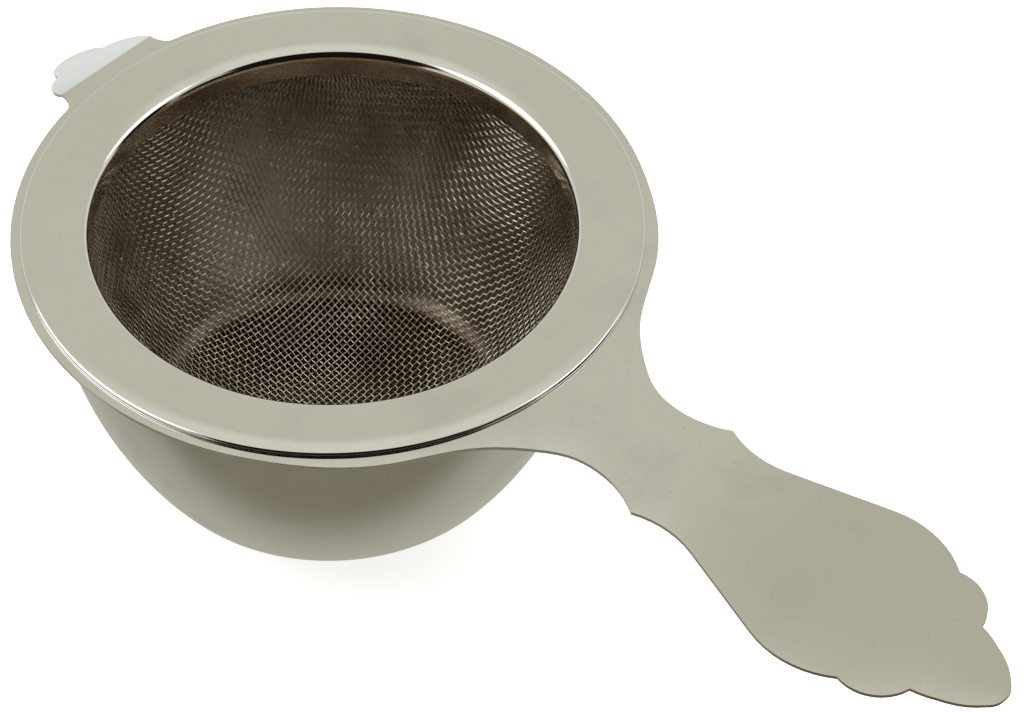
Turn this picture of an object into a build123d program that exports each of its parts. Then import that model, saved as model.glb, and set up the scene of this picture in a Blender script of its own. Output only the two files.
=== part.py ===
from build123d import *
# Tea strainer resting on its drip bowl.
# Millimetres, +Z up.  The origin is the centre of the bowl's foot, and the handle points along +X.
# The strainer is a sheet plate with a handle and a rest tab, a pressed ring on top of it, and a
# woven-wire basket whose edge is nipped between the ring's throat and the plate's collar.
from math import asin, cos, radians, sin, sqrt
import os

# Drip bowl: a deep-drawn cup with a flat floor, a rounded corner, a bulging wall and a curled rim
bowl_height = 38.65
bowl_wall = 0.6
bowl_corner_radius = 6.0
bowl_corner_angle = 58.0
bowl_bulge_radius = 64.0
rim_curl_radius = 0.9

# Strainer plate: one sheet, with the handle on +X and the rest tab on -X
plate_thickness = 0.5
plate_margin = 1.2       # beyond the ring
collar_wall = 0.6

# Handle; each pair is (distance past the plate's rim, half width)
flare_angle = 60.0
flare = [(-7.5, 24.7), (-1.25, 14.8), (4.4, 9.75)]
neck = (11.9, 7.15)
neck_point = (19.45, 9.3)
grip_start = (28.85, 8.9)
grip_end = (42.35, 13.2)
outer_notch = (54.35, 11.25)
side_lobe_peak = (59.25, 10.35)
inner_notch = (61.65, 6.66)
tip_sides = [(65.3, 5.4), (68.25, 3.75), (69.65, 2.4)]
tip_start_slope = 0.2
handle_reach = 70.7

# Rest tab, bent down at the fold; pairs are (distance past the plate's rim, half width) as far as
# the fold, and (distance past the fold, half width) beyond it
tab_root_half_width = 11.8
tab_fold = (1.5, 8.0)
tab_side_peak = (4.5, 6.6)
tab_notch = (6.2, 4.1)
tab_tip_side = (9.2, 2.5)
tab_length = 10.1
tab_bend_angle = 29.0
fold_radius = 1.0

# Top ring: a pressed sheet ring whose inner edge turns down into the throat
ring_face = 8.9          # radial width, shoulders included
ring_height = 0.9
ring_sheet = 0.6
ring_shoulder_radius = 0.65
opening_radius = 31.45
throat_shoulder_radius = 1.1
throat_depth = 3.1

# Woven-wire basket, drawn as a plain shell as thick as its two crossing wires
wire_diameter = 0.2
mesh_thickness = 2 * wire_diameter
basket_fullness = 1.82   # 2 makes the cup a half ellipsoid, 1 a cone
profile_points = 9

# Fits
seat_gap = 0.05        # plate's underside above the bowl's rim
collar_play = 2.75     # around the collar, inside the bowl's mouth
seat_shift = 1.2       # strainer rests this far towards its handle, within the collar's play
nip_gap = 0.0          # wire cloth against the throat and against the collar
collar_step = 0.7      # throat's lower edge below the collar's
hem_drop = 0.8         # wire cloth's cut edge below the plate's top
drip_gap = 2.1         # basket above the bowl's floor

# Sizes that follow from the ones above
plate_bottom = bowl_height + seat_gap
plate_top = plate_bottom + plate_thickness
ring_radius = opening_radius + ring_face
plate_radius = ring_radius + plate_margin
throat_outer_radius = opening_radius + ring_sheet
mesh_inner_radius = throat_outer_radius + nip_gap
mesh_outer_radius = mesh_inner_radius + mesh_thickness
collar_inner_radius = mesh_outer_radius + nip_gap
collar_outer_radius = collar_inner_radius + collar_wall
throat_bottom = plate_top - throat_depth
collar_bottom = throat_bottom + collar_step
collar_depth = plate_top - collar_bottom
mouth_radius = collar_outer_radius + collar_play
basket_bottom = bowl_wall + drip_gap
hem_top = plate_top - hem_drop
strainer_axis = Axis((seat_shift, 0, 0), (0, 0, 1))
strainer_section = Plane(origin=(seat_shift, 0, 0), x_dir=(1, 0, 0), z_dir=(0, -1, 0))


def strainer_level(height):
    """Horizontal sketch plane on the strainer's own axis."""
    return Plane(origin=(seat_shift, 0, height))


def bowl_outline(inset):
    """Bowl wall from the axis at the floor to the rim, moved inwards by the inset."""
    corner = bowl_corner_radius - inset
    bulge = bowl_bulge_radius - inset
    turn = radians(bowl_corner_angle)
    reach = bowl_bulge_radius - bowl_corner_radius
    bulge_level = bowl_corner_radius + reach * cos(turn)
    rise = bowl_height - rim_curl_radius - bulge_level
    inner_bulge = bowl_bulge_radius - bowl_wall
    foot_radius = mouth_radius + reach * sin(turn) - inner_bulge * cos(asin(rise / inner_bulge))
    corner_centre = (foot_radius, bowl_corner_radius)
    bulge_centre = (foot_radius - reach * sin(turn), bulge_level)
    rim_turn = asin(rise / bulge)

    def on_corner(angle):
        return (corner_centre[0] + corner * sin(angle), corner_centre[1] - corner * cos(angle))

    def on_bulge(angle):
        return (bulge_centre[0] + bulge * cos(angle), bulge_centre[1] + bulge * sin(angle))

    start_turn = turn - radians(90)
    return {
        "floor": (foot_radius, inset),
        "corner_middle": on_corner(turn / 2),
        "corner_end": on_corner(turn),
        "wall_middle": on_bulge((start_turn + rim_turn) / 2),
        "rim": on_bulge(rim_turn),
    }


os.makedirs("parts", exist_ok=True)

# Drip bowl
outside = bowl_outline(0)
inside = bowl_outline(bowl_wall)
curl_centre = (inside["rim"][0] + rim_curl_radius, bowl_height - rim_curl_radius)
with BuildPart() as drip_bowl:
    with BuildSketch(Plane.XZ):
        with BuildLine():
            Line((0, 0), outside["floor"])
            ThreePointArc(outside["floor"], outside["corner_middle"], outside["corner_end"])
            ThreePointArc(outside["corner_end"], outside["wall_middle"], outside["rim"])
            Line(outside["rim"], inside["rim"])
            ThreePointArc(inside["rim"], inside["wall_middle"], inside["corner_end"])
            ThreePointArc(inside["corner_end"], inside["corner_middle"], inside["floor"])
            Line(inside["floor"], (0, bowl_wall))
            Line((0, bowl_wall), (0, 0))
        make_face()
        with Locations(curl_centre):
            Circle(rim_curl_radius)
    revolve(axis=Axis.Z)
drip_bowl.part.label = "drip_bowl"
export_step(drip_bowl.part, "parts/drip_bowl.step")

# Handle plate
def past_rim(pair):
    """Outline point on the handle's side from its distance past the plate's rim."""
    return (plate_radius + pair[0], pair[1])


flare_turn = radians(flare_angle)
flare_start = (plate_radius * cos(flare_turn), plate_radius * sin(flare_turn))
grip_direction = (grip_end[0] - grip_start[0], grip_end[1] - grip_start[1])
tab_root = (-sqrt(plate_radius ** 2 - tab_root_half_width ** 2), tab_root_half_width)
fold_point = (-plate_radius - tab_fold[0], tab_fold[1])
bend = radians(tab_bend_angle)
fold_plane = Plane(
    origin=(seat_shift + fold_point[0], 0, plate_top),
    x_dir=(-cos(bend), 0, -sin(bend)),
    z_dir=(-sin(bend), 0, cos(bend)),
)

with BuildPart() as handle_plate:
    with BuildSketch(strainer_level(plate_bottom)):
        Circle(plate_radius)
        with BuildLine():
            Line((0, 0), flare_start)
            Spline(
                flare_start, *[past_rim(pair) for pair in flare], past_rim(neck),
                tangents=[(sin(flare_turn), -cos(flare_turn)), (1, 0)],
            )
            TangentArc(past_rim(neck), past_rim(neck_point), tangent=(1, 0))
            TangentArc(
                past_rim(grip_start), past_rim(neck_point),
                tangent=(-grip_direction[0], -grip_direction[1]),
            )
            Line(past_rim(grip_start), past_rim(grip_end))
            TangentArc(past_rim(grip_end), past_rim(outer_notch), tangent=grip_direction)
            ThreePointArc(past_rim(outer_notch), past_rim(side_lobe_peak), past_rim(inner_notch))
            Spline(
                past_rim(inner_notch), *[past_rim(pair) for pair in tip_sides],
                past_rim((handle_reach, 0)), tangents=[(1, -tip_start_slope), (0, -1)],
            )
            Line(past_rim((handle_reach, 0)), (0, 0))
        make_face()
        with BuildLine():
            Line((0, 0), tab_root)
            TangentArc(fold_point, tab_root, tangent=(1, 0))
            Line(fold_point, (fold_point[0], 0))
            Line((fold_point[0], 0), (0, 0))
        make_face()
        mirror(about=Plane.XZ)
    extrude(amount=plate_thickness)
    with BuildSketch(fold_plane):
        with BuildLine():
            Line((0, 0), (0, tab_fold[1]))
            ThreePointArc((0, tab_fold[1]), tab_side_peak, tab_notch)
            ThreePointArc(tab_notch, tab_tip_side, (tab_length, 0))
            Line((tab_length, 0), (0, 0))
        make_face()
        mirror(about=Plane.XZ)
    extrude(amount=-plate_thickness)
    fold_edge = handle_plate.edges().filter_by(Axis.Y).sort_by(Axis.Z)[-1]
    fillet(fold_edge, fold_radius)
    with BuildSketch(strainer_level(collar_bottom)):
        Circle(collar_outer_radius)
    extrude(amount=collar_depth)
    with BuildSketch(strainer_level(collar_bottom)):
        Circle(collar_inner_radius)
    extrude(amount=collar_depth, mode=Mode.SUBTRACT)
handle_plate.part.label = "handle_plate"
export_step(handle_plate.part, "parts/handle_plate.step")

# Top ring
outer_bend = (ring_radius - ring_shoulder_radius, plate_top + ring_height - ring_shoulder_radius)
inner_bend = (opening_radius + throat_shoulder_radius, plate_top + ring_height - throat_shoulder_radius)
outer_bend_inside = ring_shoulder_radius - ring_sheet
inner_bend_inside = throat_shoulder_radius - ring_sheet
with BuildPart() as top_ring:
    with BuildSketch(strainer_section):
        with BuildLine():
            Line((ring_radius, plate_top), (ring_radius, outer_bend[1]))
            CenterArc(outer_bend, ring_shoulder_radius, 0, 90)
            Line((outer_bend[0], plate_top + ring_height), (inner_bend[0], plate_top + ring_height))
            CenterArc(inner_bend, throat_shoulder_radius, 90, 90)
            Line((opening_radius, inner_bend[1]), (opening_radius, throat_bottom))
            Line((opening_radius, throat_bottom), (throat_outer_radius, throat_bottom))
            Line((throat_outer_radius, throat_bottom), (throat_outer_radius, inner_bend[1]))
            CenterArc(inner_bend, inner_bend_inside, 180, -90)
            Line(
                (inner_bend[0], inner_bend[1] + inner_bend_inside),
                (outer_bend[0], outer_bend[1] + outer_bend_inside),
            )
            CenterArc(outer_bend, outer_bend_inside, 90, -90)
            Line((ring_radius - ring_sheet, outer_bend[1]), (ring_radius - ring_sheet, plate_top))
            Line((ring_radius - ring_sheet, plate_top), (ring_radius, plate_top))
        make_face()
    revolve(axis=strainer_axis)
top_ring.part.label = "top_ring"
export_step(top_ring.part, "parts/top_ring.step")

# Mesh basket: a straight hem in the nip, then a rounded cup
def cup_curve(radius, depth):
    """Points of the cup's half section, from its rim down to the axis."""
    points = []
    for step in range(profile_points):
        turn = radians(90) * step / (profile_points - 1)
        across = radius * max(cos(turn), 0) ** (2 / basket_fullness)
        down = depth * sin(turn) ** (2 / basket_fullness)
        points.append((across, throat_bottom - down))
    return points[:-1] + [(0, throat_bottom - depth)]


cup_depth = throat_bottom - basket_bottom
with BuildPart() as mesh_basket:
    with BuildSketch(strainer_section):
        with BuildLine():
            Spline(*cup_curve(mesh_outer_radius, cup_depth), tangents=[(0, -1), (-1, 0)])
            Spline(
                *cup_curve(mesh_inner_radius, cup_depth - mesh_thickness),
                tangents=[(0, -1), (-1, 0)],
            )
            Line((mesh_outer_radius, throat_bottom), (mesh_outer_radius, hem_top))
            Line((mesh_outer_radius, hem_top), (mesh_inner_radius, hem_top))
            Line((mesh_inner_radius, hem_top), (mesh_inner_radius, throat_bottom))
            Line((0, basket_bottom + mesh_thickness), (0, basket_bottom))
        make_face()
    revolve(axis=strainer_axis)
mesh_basket.part.label = "mesh_basket"
export_step(mesh_basket.part, "parts/mesh_basket.step")
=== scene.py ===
from math import asin, cos, pi, radians, sin, sqrt

import bmesh
import bpy
from mathutils import Matrix, Vector


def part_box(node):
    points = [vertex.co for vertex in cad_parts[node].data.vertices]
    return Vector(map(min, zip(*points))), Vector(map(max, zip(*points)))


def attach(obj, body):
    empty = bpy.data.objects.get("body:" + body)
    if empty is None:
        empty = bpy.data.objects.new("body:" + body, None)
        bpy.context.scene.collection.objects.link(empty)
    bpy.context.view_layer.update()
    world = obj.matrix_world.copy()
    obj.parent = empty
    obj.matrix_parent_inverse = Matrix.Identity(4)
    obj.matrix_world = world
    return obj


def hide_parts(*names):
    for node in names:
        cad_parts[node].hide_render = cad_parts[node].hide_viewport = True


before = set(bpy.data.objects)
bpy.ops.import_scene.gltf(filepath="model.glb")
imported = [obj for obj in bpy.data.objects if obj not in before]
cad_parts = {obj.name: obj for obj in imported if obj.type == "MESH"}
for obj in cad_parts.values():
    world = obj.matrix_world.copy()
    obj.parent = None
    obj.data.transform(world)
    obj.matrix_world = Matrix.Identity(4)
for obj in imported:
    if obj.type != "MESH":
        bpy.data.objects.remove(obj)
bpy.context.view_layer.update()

MM = 0.001

# Levels and radii shared by the pieces, taken from the frame
bowl_low, bowl_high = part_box("drip_bowl")
plate_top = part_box("handle_plate")[1].z
ring_low, ring_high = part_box("top_ring")
basket_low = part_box("mesh_basket")[0]
strainer_x = (ring_low.x + ring_high.x) / 2
ring_radius = (ring_high.y - ring_low.y) / 2
bowl_height = bowl_high.z

# Sheet and wire sizes, as in the CAD parts
ring_foot_bend = 0.15 * MM
ring_shoulder = 0.4 * MM
throat_shoulder = 1.1 * MM
crown_radius = 9.0 * MM
crown_turn = radians(14)
ring_sheet = 0.6 * MM
opening_radius = 31.45 * MM
throat_depth = 3.1 * MM
bowl_wall = 0.6 * MM
bowl_corner = 6.0 * MM
bowl_corner_turn = radians(58)
bowl_bulge = 64.0 * MM
rim_curl = 0.9 * MM
wire_radius = 0.1 * MM
# Width over which the painted colours inside the ring's throat and the bowl fade in.
painted_inside_edge = 0.5 * MM
round_steps = 288

# Wire cloth, drawn to shape over a rounded former
cloth_radius = opening_radius + ring_sheet + 2 * wire_radius
cloth_rim = plate_top - throat_depth
cloth_depth = cloth_rim - basket_low.z - 2 * wire_radius
cloth_fullness = 1.82
cloth_nip = 1.6 * MM
warp_pitch = 0.81 * MM
weft_pitch = 0.745 * MM
cloth_turn = -0.04


# ---------------------------------------------------------------- nodes

class Level:
    """A value that varies over a surface; sums and products of it add Math nodes."""

    def __init__(self, recipe, socket):
        self.recipe = recipe
        self.socket = socket

    def math(self, operation, first, second):
        return self.recipe.node("Math", {"operation": operation}, {0: first, 1: second})

    def __add__(self, other):
        return self.math("ADD", self, other)

    __radd__ = __add__

    def __sub__(self, other):
        return self.math("SUBTRACT", self, other)

    def __rsub__(self, other):
        return self.math("SUBTRACT", other, self)

    def __mul__(self, other):
        return self.math("MULTIPLY", self, other)

    __rmul__ = __mul__

    def between(self, low, high):
        """0 below low and 1 above high, with a smooth rise."""
        return self.recipe.node(
            "MapRange", {"interpolation_type": "SMOOTHSTEP"}, {0: self, 1: low, 2: high}
        )


class Recipe:
    """The nodes of one finish, or of the studio's light."""

    def __init__(self, owner):
        owner.use_nodes = True
        self.tree = owner.node_tree
        self.tree.nodes.clear()

    def node(self, kind, settings=None, sockets=None, output=0):
        """Adds a node, its settings first, then the value or link of each socket."""
        made = self.tree.nodes.new("ShaderNode" + kind)
        for name, value in (settings or {}).items():
            setattr(made, name, value)
        for name, value in (sockets or {}).items():
            if isinstance(value, Level):
                self.tree.links.new(value.socket, made.inputs[name])
            else:
                made.inputs[name].default_value = value
        return Level(self, made.outputs[output]) if made.outputs else made

    def noise(self, place, scale, detail=2.0, roughness=0.5, stretch=(1, 1, 1)):
        """Noise from 0 to 1; scale counts features per metre, before the stretch."""
        spot = self.node("Mapping", {"vector_type": "POINT"}, {"Vector": place, "Scale": stretch})
        return self.node(
            "TexNoise", {}, {"Vector": spot, "Scale": scale, "Detail": detail, "Roughness": roughness}
        )

    def along(self, place, way):
        """How far a place, or a direction, reaches along a way."""
        return self.node("VectorMath", {"operation": "DOT_PRODUCT"}, {0: place, 1: way}, output=1)

    def facing(self, place, spot):
        """Above 0 where the surface faces a spot, and below 0 where it faces away."""
        toward = self.node("VectorMath", {"operation": "SUBTRACT"}, {0: spot, 1: place})
        return self.along(toward, self.node("TexCoord", output=1))

    def blend(self, factor, first, second):
        """Colour between two colours."""
        return self.node(
            "Mix", {"data_type": "RGBA"}, {0: factor, 6: first, 7: second}, output=2
        )


def colour(red, green, blue):
    return (red, green, blue, 1.0)


# ---------------------------------------------------------------- finishes

def steel(name, tone, shade, gloss, grain, grain_stretch=(1, 1, 1), wave=0.0, tip_shade=None, painted_inside=None):
    """Stainless steel: soft tone clouds, handling smudges, a fine polishing grain and scratches.

    tone and shade are its lighter and darker colours, gloss its roughness, grain the grain's
    height in metres and wave the height of the sheet's slow waves. held gives the X where a
    painted shade on the handle's tip starts, the X where it is full, and the shade colour; it
    darkens the tip to stand in for a dimmer reflection there. steeped gives a spot that the
    inside faces, and the painted colours of its floor and of its wall: a painted brown
    reflection of the basket in the ring's throat, and painted shade under the basket in the bowl.
    """
    finish = bpy.data.materials.new(name)
    recipe = Recipe(finish)
    place = recipe.node("TexCoord", output=3)
    clouds = recipe.noise(place, 28, 3, 0.55)
    smudges = recipe.noise(place, 95, 4, 0.6).between(0.52, 0.72)
    specks = recipe.noise(place, 1900, 1, 0.4).between(0.70, 0.78)
    lines = recipe.noise(place, 900, 2, 0.6, grain_stretch)
    scratches = recipe.noise(place, 260, 2, 0.5, (0.35, 11, 3)).between(0.66, 0.74)
    waves = recipe.noise(place, 22, 1, 0.4)
    base = recipe.blend(clouds.between(0.3, 0.7), tone, shade)
    # Painted shade: the handle's tip is darkened along X, standing in for a dimmer reflection there.
    if tip_shade:
        start, end, tip_shade_colour = tip_shade
        along = recipe.node("SeparateXYZ", {}, {0: place}, output=0)
        base = recipe.blend(along.between(start, end), base, tip_shade_colour)
    # Painted light inside a vessel: surfaces facing the spot take painted colours, the floor colour fading
    # to the wall colour up to the corner's height. The ring's throat gets a painted brown reflection of
    # the basket, the bowl painted shade under the basket.
    if painted_inside:
        spot, inside_floor_painted_light, inside_wall_painted_light = painted_inside
        level = recipe.node("SeparateXYZ", {}, {0: place}, output=2)
        painted_inside_colour = recipe.blend(level.between(bowl_wall, bowl_corner), inside_floor_painted_light, inside_wall_painted_light)
        inside = recipe.facing(place, spot).between(0.0, painted_inside_edge)
        base = recipe.blend(inside, base, painted_inside_colour)
    dirt = smudges * 0.10 + specks * 0.18
    base = recipe.blend(dirt, base, colour(*[0.45 * part for part in shade[:3]]))
    rough = gloss + 0.05 * smudges + 0.04 * lines + 0.06 * scratches
    height = lines * grain - scratches * (0.6 * grain) + waves * wave
    bump = recipe.node("Bump", {}, {"Strength": 1.0, "Distance": 1.0, "Height": height})
    shader = recipe.node(
        "BsdfPrincipled", {},
        {"Base Color": base, "Metallic": 1.0, "Roughness": rough, "Normal": bump},
    )
    recipe.node("OutputMaterial", {}, {"Surface": shader})
    return finish


def stained_wire(name, tone, stain, gloss):
    """Drawn wire with brown tea stain in patches and a fine drawing grain."""
    finish = bpy.data.materials.new(name)
    recipe = Recipe(finish)
    place = recipe.node("TexCoord", output=3)
    patches = recipe.noise(place, 90, 3, 0.6).between(0.35, 0.7)
    dots = recipe.noise(place, 1500, 2, 0.6).between(0.45, 0.75)
    grain = recipe.noise(place, 9000, 1, 0.5)
    base = recipe.blend(patches * 0.7 + dots * 0.3, tone, stain)
    rough = gloss + 0.08 * dots + 0.05 * patches
    bump = recipe.node("Bump", {}, {"Strength": 0.6, "Distance": 1.0, "Height": grain * 1e-6})
    shader = recipe.node(
        "BsdfPrincipled", {},
        {"Base Color": base, "Metallic": 1.0, "Roughness": rough, "Normal": bump},
    )
    recipe.node("OutputMaterial", {}, {"Surface": shader})
    return finish


# ---------------------------------------------------------------- shapes

def add_piece(name, mesh, finish, body, node):
    """Puts a finished mesh in the scene as a piece that stands for a CAD node."""
    piece = bpy.data.objects.new(name, mesh)
    bpy.context.scene.collection.objects.link(piece)
    mesh.materials.append(finish)
    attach(piece, body)
    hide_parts(node)
    return piece


def mesh_of(bm, name, sharp=radians(40)):
    """Turns a bmesh into a mesh with smooth faces and sharp edges above an angle."""
    for face in bm.faces:
        face.smooth = True
    for edge in bm.edges:
        edge.smooth = len(edge.link_faces) == 2 and edge.calc_face_angle(pi) < sharp
    mesh = bpy.data.meshes.new(name)
    bm.to_mesh(mesh)
    bm.free()
    return mesh


class Section:
    """Half section of a turned sheet piece, drawn as a pen line in the XZ plane."""

    def __init__(self, x, z, heading):
        self.bm = bmesh.new()
        self.pen = self.bm.verts.new((x, 0, z))
        self.heading = heading

    def run(self, length, steps=1):
        """Straight line along the heading."""
        stride = Vector((cos(self.heading), 0, sin(self.heading))) * length / steps
        for _ in range(steps):
            made = bmesh.ops.extrude_vert_indiv(self.bm, verts=[self.pen])
            self.pen = made["verts"][0]
            self.pen.co += stride

    def turn(self, angle, radius, steps):
        """Arc that starts along the heading; a positive angle turns from +X to +Z."""
        side = self.heading + (pi / 2 if angle > 0 else -pi / 2)
        centre = self.pen.co + Vector((cos(side), 0, sin(side))) * radius
        made = bmesh.ops.spin(
            self.bm, geom=[self.pen], cent=centre, axis=(0, -1, 0), angle=angle, steps=steps
        )
        self.pen = [item for item in made["geom_last"] if isinstance(item, bmesh.types.BMVert)][0]
        self.heading += angle

    def spin(self, centre_x):
        """Turns the line about the upright axis through centre_x and closes the seam."""
        geom = self.bm.verts[:] + self.bm.edges[:]
        bmesh.ops.spin(
            self.bm, geom=geom, cent=(centre_x, 0, 0), axis=(0, 0, 1), angle=2 * pi,
            steps=round_steps, use_merge=True,
        )
        bmesh.ops.remove_doubles(self.bm, verts=self.bm.verts[:], dist=1e-7)
        return self.bm


def thicken(bm, thickness, upward_face):
    """Gives a spun shell its wall; upward_face says whether its flat's first side faces up."""
    bmesh.ops.recalc_face_normals(bm, faces=bm.faces[:])
    flat = max(bm.faces, key=lambda face: abs(face.normal.z) * face.calc_area())
    if (flat.normal.z > 0) != upward_face:
        bmesh.ops.reverse_faces(bm, faces=bm.faces[:])
    bmesh.ops.solidify(bm, geom=bm.faces[:], thickness=thickness)
    bmesh.ops.recalc_face_normals(bm, faces=bm.faces[:])
    return bm


# ---------------------------------------------------------------- pieces

def make_top_ring(finish):
    """Pressed ring: an upright edge, a round shoulder, a wide flat and a turned-down throat."""
    tight_turn = pi / 2 - crown_turn
    crown_drop = crown_radius * (1 - cos(crown_turn))
    crown_width = crown_radius * sin(crown_turn)
    height = ring_high.z - plate_top
    side = height - crown_drop - ring_shoulder * sin(tight_turn) - ring_foot_bend
    face = ring_radius - opening_radius - 2 * crown_width
    flat = face - (ring_shoulder + throat_shoulder) * (1 - cos(tight_turn))
    lip = height + throat_depth - crown_drop - throat_shoulder * sin(tight_turn)
    section = Section(strainer_x + ring_radius - ring_foot_bend, plate_top, 0)
    section.turn(pi / 2, ring_foot_bend, 4)
    section.run(side)
    section.turn(tight_turn, ring_shoulder, 10)
    section.turn(crown_turn, crown_radius, 6)
    section.run(flat, 3)
    section.turn(crown_turn, crown_radius, 6)
    section.turn(tight_turn, throat_shoulder, 12)
    section.run(lip, 3)
    bm = thicken(section.spin(strainer_x), ring_sheet, True)
    return add_piece("ring_pressing", mesh_of(bm, "ring_pressing"), finish,
                     "strainer", "top_ring")


def make_drip_bowl(finish):
    """Deep-drawn bowl: floor, corner, bulging wall and a rim curled outwards."""
    corner = bowl_corner - bowl_wall
    bulge = bowl_bulge - bowl_wall
    bulge_z = bowl_corner + (bowl_bulge - bowl_corner) * cos(bowl_corner_turn)
    rim_turn = asin((bowl_height - rim_curl - bulge_z) / bulge)
    wall_turn = pi / 2 - bowl_corner_turn + rim_turn
    reach = bowl_bulge - bowl_corner
    foot_radius = bowl_high.x - 2 * rim_curl + reach * sin(bowl_corner_turn) - bulge * cos(rim_turn)
    section = Section(0, bowl_wall, 0)
    section.run(foot_radius, 6)
    section.turn(bowl_corner_turn, corner, 14)
    section.turn(wall_turn, bulge, 24)
    section.turn(-radians(285), rim_curl, 24)
    bm = thicken(section.spin(0), bowl_wall, True)
    return add_piece("bowl_shell", mesh_of(bm, "bowl_shell"), finish,
                     "bowl", "drip_bowl")


def make_handle_plate(finish):
    """Plate, handle, rest tab and collar in one sheet, with its cut edges broken."""
    edge_break = 0.2 * MM
    cut_angle = radians(60)
    bm = bmesh.new()
    bm.from_mesh(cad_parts["handle_plate"].data)
    bmesh.ops.remove_doubles(bm, verts=bm.verts[:], dist=2e-6)
    bmesh.ops.dissolve_limit(bm, angle_limit=radians(0.6), verts=bm.verts[:], edges=bm.edges[:])
    cut_edges = [
        edge for edge in bm.edges
        if len(edge.link_faces) == 2 and edge.calc_face_angle(0) > cut_angle
    ]
    bmesh.ops.bevel(
        bm, geom=cut_edges, offset=edge_break, offset_type="OFFSET", segments=4, profile=0.5,
        affect="EDGES", clamp_overlap=True, material=-1,
    )
    bmesh.ops.triangulate(bm, faces=[face for face in bm.faces if len(face.verts) > 4])
    bmesh.ops.recalc_face_normals(bm, faces=bm.faces[:])
    return add_piece("plate_with_handle", mesh_of(bm, "plate_with_handle", radians(30)), finish,
                     "strainer", "handle_plate")


# Wire cloth: a net whose wires keep their pitch while the square mesh shears over the cup

def cup_surface(spot):
    """How far a spot is outside the cup, as a number that is 0 on it, and its gradient."""
    power = cloth_fullness
    across = max(sqrt(spot.x ** 2 + spot.y ** 2), 1e-9)
    down = max(-spot.z, 1e-12)
    value = (across / cloth_radius) ** power + (down / cloth_depth) ** power - 1
    outward = power / cloth_radius * (across / cloth_radius) ** (power - 1)
    downward = -power / cloth_depth * (down / cloth_depth) ** (power - 1)
    return value, Vector((outward * spot.x / across, outward * spot.y / across, downward))


def settle(guess, rules):
    """Newton's way to the spot where three rules, each giving a value and a gradient, are 0."""
    spot = guess.copy()
    for _ in range(14):
        answers = [rule(spot) for rule in rules]
        slopes = Matrix([answer[1] for answer in answers])
        if abs(slopes.determinant()) < 1e-16:
            return None
        step = slopes.inverted() @ Vector([answer[0] for answer in answers])
        step.length = min(step.length, 0.4 * MM)
        spot -= step
        if step.length < 1e-7:
            return spot
    return None


def at_pitch(anchor, pitch):
    """Rule: the wire's length from the neighbouring crossing is one pitch."""
    return lambda spot: (
        ((spot - anchor).length_squared - pitch ** 2) / MM,
        (spot - anchor) * 2 / MM,
    )


def on_cup(spot):
    value, gradient = cup_surface(spot)
    return value * cloth_radius, gradient * cloth_radius


def in_plane(side):
    return lambda spot: (spot.dot(side), side)


def weave_quarter():
    """Crossings of one quarter of the cloth, from the bottom of the cup up to the nip."""
    crossings = {(0, 0): Vector((0, 0, -cloth_depth))}
    sides = {0: (Vector((1, 0, 0)), Vector((0, 1, 0)), warp_pitch),
             1: (Vector((0, 1, 0)), Vector((1, 0, 0)), weft_pitch)}
    for way, (along, side, pitch) in sides.items():
        key, last, stride = (0, 0), crossings[(0, 0)], along * pitch
        while last is not None and last.z < cloth_nip:
            crossings[key] = last
            spot = settle(last + stride, [at_pitch(last, pitch), in_plane(side), on_cup])
            stride = spot - last if spot is not None else stride
            last, key = spot, (key[0] + 1 - way, key[1] + way)
    warps = max(key[0] for key in crossings)
    wefts = max(key[1] for key in crossings)
    for row in range(1, warps + 1):
        for column in range(1, wefts + 1):
            before = crossings.get((row - 1, column))
            beside = crossings.get((row, column - 1))
            corner = crossings.get((row - 1, column - 1))
            if not (before and beside and corner):
                continue
            spot = settle(
                before + beside - corner,
                [at_pitch(before, warp_pitch), at_pitch(beside, weft_pitch), on_cup],
            )
            if spot is None or spot.z > cloth_nip or (spot - corner).length < 0.2 * MM:
                continue
            crossings[(row, column)] = spot
    return crossings


def woven_wires(crossings, way):
    """Wire paths along one way of the cloth, passing over and under the wires they cross."""
    reach = max(key[way] for key in crossings)
    across = max(key[1 - way] for key in crossings)
    upright = Matrix.Rotation(cloth_turn, 4, "Z")
    home = Vector((strainer_x, 0, cloth_rim))
    wires = []
    for lane in range(-across, across + 1):
        wire = []
        for stop in range(-reach, reach + 1):
            key = (stop, lane) if way == 0 else (lane, stop)
            spot = crossings.get((abs(key[0]), abs(key[1])))
            if spot is None:
                if stop > 0:
                    break
                wire = []
                continue
            side_x = -1 if key[0] < 0 else 1
            side_y = -1 if key[1] < 0 else 1
            spot = Vector((spot.x * side_x, spot.y * side_y, spot.z))
            outward = cup_surface(spot)[1].normalized()
            over = 1 if (stop + lane + way) % 2 else -1
            wire.append(home + upright @ (spot + outward * over * 2 * wire_radius))
        if len(wire) > 3:
            wires.append(wire)
    return wires


def make_wires(name, wires, finish):
    """Round wires along woven paths, as one piece."""
    curve = bpy.data.curves.new(name, "CURVE")
    curve.dimensions = "3D"
    curve.bevel_depth = wire_radius
    curve.bevel_resolution = 1
    curve.use_fill_caps = True
    curve.resolution_u = 2
    for wire in wires:
        spline = curve.splines.new("NURBS")
        spline.points.add(len(wire) - 1)
        for point, spot in zip(spline.points, wire):
            point.co = (*spot, 1)
        spline.order_u = 3
        spline.use_endpoint_u = True
        spline.resolution_u = 2
    drawn = bpy.data.objects.new(name + "_line", curve)
    mesh = bpy.data.meshes.new_from_object(drawn)
    bpy.data.objects.remove(drawn)
    bpy.data.curves.remove(curve)
    mesh.polygons.foreach_set("use_smooth", [True] * len(mesh.polygons))
    return add_piece(name, mesh, finish, "strainer", "mesh_basket")


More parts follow.
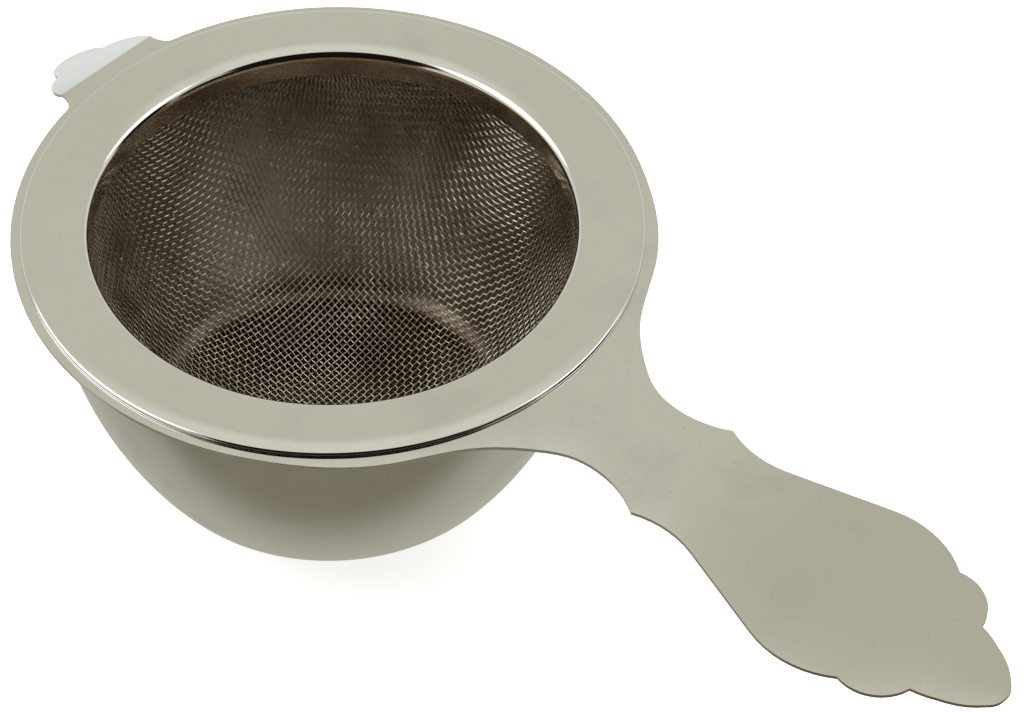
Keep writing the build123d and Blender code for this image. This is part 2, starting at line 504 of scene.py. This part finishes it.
def make_basket(finish):
    """Plain-woven wire basket, in bundles of neighbouring wires."""
    bundles = 3
    crossings = weave_quarter()
    for way, title in enumerate(("warp", "weft")):
        wires = woven_wires(crossings, way)
        size = (len(wires) + bundles - 1) // bundles
        for bundle in range(bundles):
            chosen = wires[bundle * size:(bundle + 1) * size]
            make_wires(f"basket_{title}_{bundle + 1}", chosen, finish)


# ---------------------------------------------------------------- studio

def make_floor():
    """Wide white table, lit through from below as a light table is."""
    bm = bmesh.new()
    bmesh.ops.create_circle(bm, cap_ends=True, segments=96, radius=4.0)
    mesh = bpy.data.meshes.new("white_table")
    bm.to_mesh(mesh)
    bm.free()
    table = bpy.data.objects.new("white_table", mesh)
    bpy.context.scene.collection.objects.link(table)
    table.location.z = bowl_low.z - 0.02 * MM
    finish = bpy.data.materials.new("table_white")
    recipe = Recipe(finish)
    lit = recipe.node(
        "BsdfPrincipled", {},
        {"Base Color": colour(0.82, 0.82, 0.82), "Roughness": 0.7,
         "Emission Color": colour(1, 1, 1), "Emission Strength": 0.75},
    )
    place = recipe.node("TexCoord", output=3)
    ahead = recipe.along(place, front_way)
    sheen = table_far
    for start, end, tone in table_zones:
        sheen = recipe.blend(ahead.between(start, end), sheen, tone)
    glow = recipe.node("Emission", {}, {"Color": sheen, "Strength": 1.0})
    seen = recipe.node("LightPath", output=0)
    shader = recipe.node("MixShader", {}, {0: seen, 1: glow, 2: lit})
    recipe.node("OutputMaterial", {}, {"Surface": shader})
    mesh.materials.append(finish)


def room_way(turn, height):
    """Direction that is turned from the handle side's front and raised above the horizon."""
    return Matrix.Rotation(turn, 3, "Z") @ Matrix.Rotation(-height, 3, front_side) @ front_way


def make_studio():
    """Soft grey room: white walls low down, a warm grey ceiling, two windows and a dark open side."""
    world = bpy.data.worlds.new("studio")
    bpy.context.scene.world = world
    recipe = Recipe(world)
    way = recipe.node("TexCoord", output=0)
    upward = recipe.node("SeparateXYZ", {}, {0: way}, output=2)
    aside = recipe.along(way, front_side)
    card = recipe.blend(upward.between(*card_top), card_grey, card_pale)
    wall_level = upward - wall_climb * (aside * aside)
    room = recipe.blend(wall_level.between(*wall_top), wall_white, card)
    for turn, height, reach, glow in windows:
        facing = recipe.along(way, room_way(turn, height))
        room = recipe.blend(facing.between(cos(reach + window_edge), cos(reach)), room, glow)
    for turn, height, reach in dark_patches:
        facing = recipe.along(way, room_way(turn, height))
        patch = facing.between(cos(reach + dark_edge), cos(reach - dark_edge))
        room = recipe.blend(patch, room, dark_room)
    seen = recipe.node("LightPath", output=0)
    room = recipe.blend(seen, room, colour(1, 1, 1))
    light = recipe.node("Background", {}, {"Color": room, "Strength": 1.0})
    recipe.node("OutputWorld", {}, {"Surface": light})


def make_overhead_light():
    """Soft box straight above the table."""
    lamp = bpy.data.lights.new("soft_box", "AREA")
    lamp.shape = "SQUARE"
    lamp.size = 0.5
    lamp.energy = 9.0
    lamp.color = (1.0, 0.98, 0.94)
    lamp_offset = Vector((-0.15, 0.12, 1.1))
    holder = bpy.data.objects.new("soft_box", lamp)
    holder.location = Vector((strainer_x, 0, 0)) + lamp_offset
    holder.rotation_euler = lamp_offset.to_track_quat("Z", "Y").to_euler()
    holder.visible_glossy = False
    bpy.context.scene.collection.objects.link(holder)


def make_camera():
    """Looks down at the strainer from its handle side."""
    camera = bpy.data.cameras.new("camera")
    camera.sensor_width = 36.0
    camera.lens = 158.2
    camera.clip_start = 0.01
    holder = bpy.data.objects.new("camera", camera)
    facing = (
        Matrix.Rotation(view_turn, 4, "Z")
        @ Matrix.Rotation(pi / 2 - view_height, 4, "X")
        @ Matrix.Rotation(view_roll, 4, "Z")
    )
    holder.matrix_world = Matrix.Translation(view_aim) @ facing @ Matrix.Translation((0, 0, view_distance))
    bpy.context.scene.collection.objects.link(holder)
    bpy.context.scene.camera = holder


view_turn = radians(43.39)
view_height = radians(46.9)
view_roll = radians(0.5955)
view_distance = 580.64 * MM
view_aim = Vector((26.55, 7.05, 27.7)) * MM

front_way = Vector((sin(view_turn), -cos(view_turn), 0))
front_side = Vector((cos(view_turn), sin(view_turn), 0))
wall_white = colour(0.98, 0.98, 0.95)
wall_top = (0.14, 0.30)
wall_climb = 0.45
card_top = (0.78, 0.90)
card_grey = colour(0.80, 0.78, 0.645)
card_pale = colour(1.0, 0.985, 0.86)
windows = (
    (radians(-97), radians(46), radians(20), colour(3.4, 3.35, 3.2)),
    (radians(104), radians(46), radians(14), colour(2.2, 2.15, 2.05)),
)
window_edge = radians(6)
dark_room = colour(0.012, 0.009, 0.006)
dark_patches = (
    (radians(0), radians(46), radians(37)),
    (radians(0), radians(18), radians(36)),
    (radians(50), radians(13), radians(20)),
    (radians(88), radians(13), radians(17)),
)
dark_edge = radians(2.5)
table_far = colour(1.07, 1.10, 1.07)
table_zones = (
    (-0.20, -0.05, colour(0.57, 0.565, 0.49)),
    (0.027, 0.042, colour(0.33, 0.31, 0.235)),
    (0.060, 0.100, colour(0.20, 0.17, 0.12)),
)

# Painted shade on the handle's tip; painted colours inside: a brown reflection of the basket in the ring's
# throat, and shade under the basket on the bowl's floor and wall.
handle_tip_painted_shade = (60 * MM, 82 * MM, colour(0.515, 0.508, 0.480))
throat_painted_reflection = colour(0.60, 0.52, 0.42)
bowl_floor_painted_shade = colour(0.13, 0.105, 0.075)
bowl_wall_painted_shade = colour(0.46, 0.45, 0.41)

# The handle's tip takes a painted shade.
plate_steel = steel(
    "plate_steel", colour(0.600, 0.597, 0.586), colour(0.575, 0.571, 0.556), 0.07, 2.0e-7, (0.4, 9, 1),
    wave=6e-6, tip_shade=handle_tip_painted_shade,
)
# The ring's throat takes a painted brown reflection of the basket.
ring_steel = steel(
    "ring_steel", colour(0.600, 0.597, 0.586), colour(0.580, 0.576, 0.562), 0.06, 1.5e-7, (0.7, 5, 1),
    wave=3e-6,
    painted_inside=(Vector((strainer_x, 0, basket_low.z)), throat_painted_reflection, throat_painted_reflection),
)
# The bowl's floor and wall inside take painted shade under the basket.
bowl_steel = steel(
    "bowl_steel", colour(0.58, 0.565, 0.53), colour(0.52, 0.505, 0.46), 0.20, 6.0e-7, (1, 1, 9),
    painted_inside=(Vector((0, 0, bowl_height)), bowl_floor_painted_shade, bowl_wall_painted_shade),
)
basket_wire = stained_wire("basket_wire", colour(0.66, 0.61, 0.52), colour(0.22, 0.165, 0.105), 0.10)

make_camera()
make_studio()
make_overhead_light()
make_floor()
make_drip_bowl(bowl_steel)
make_handle_plate(plate_steel)
make_top_ring(ring_steel)
make_basket(basket_wire)

bpy.context.scene.view_settings.view_transform = "Standard"
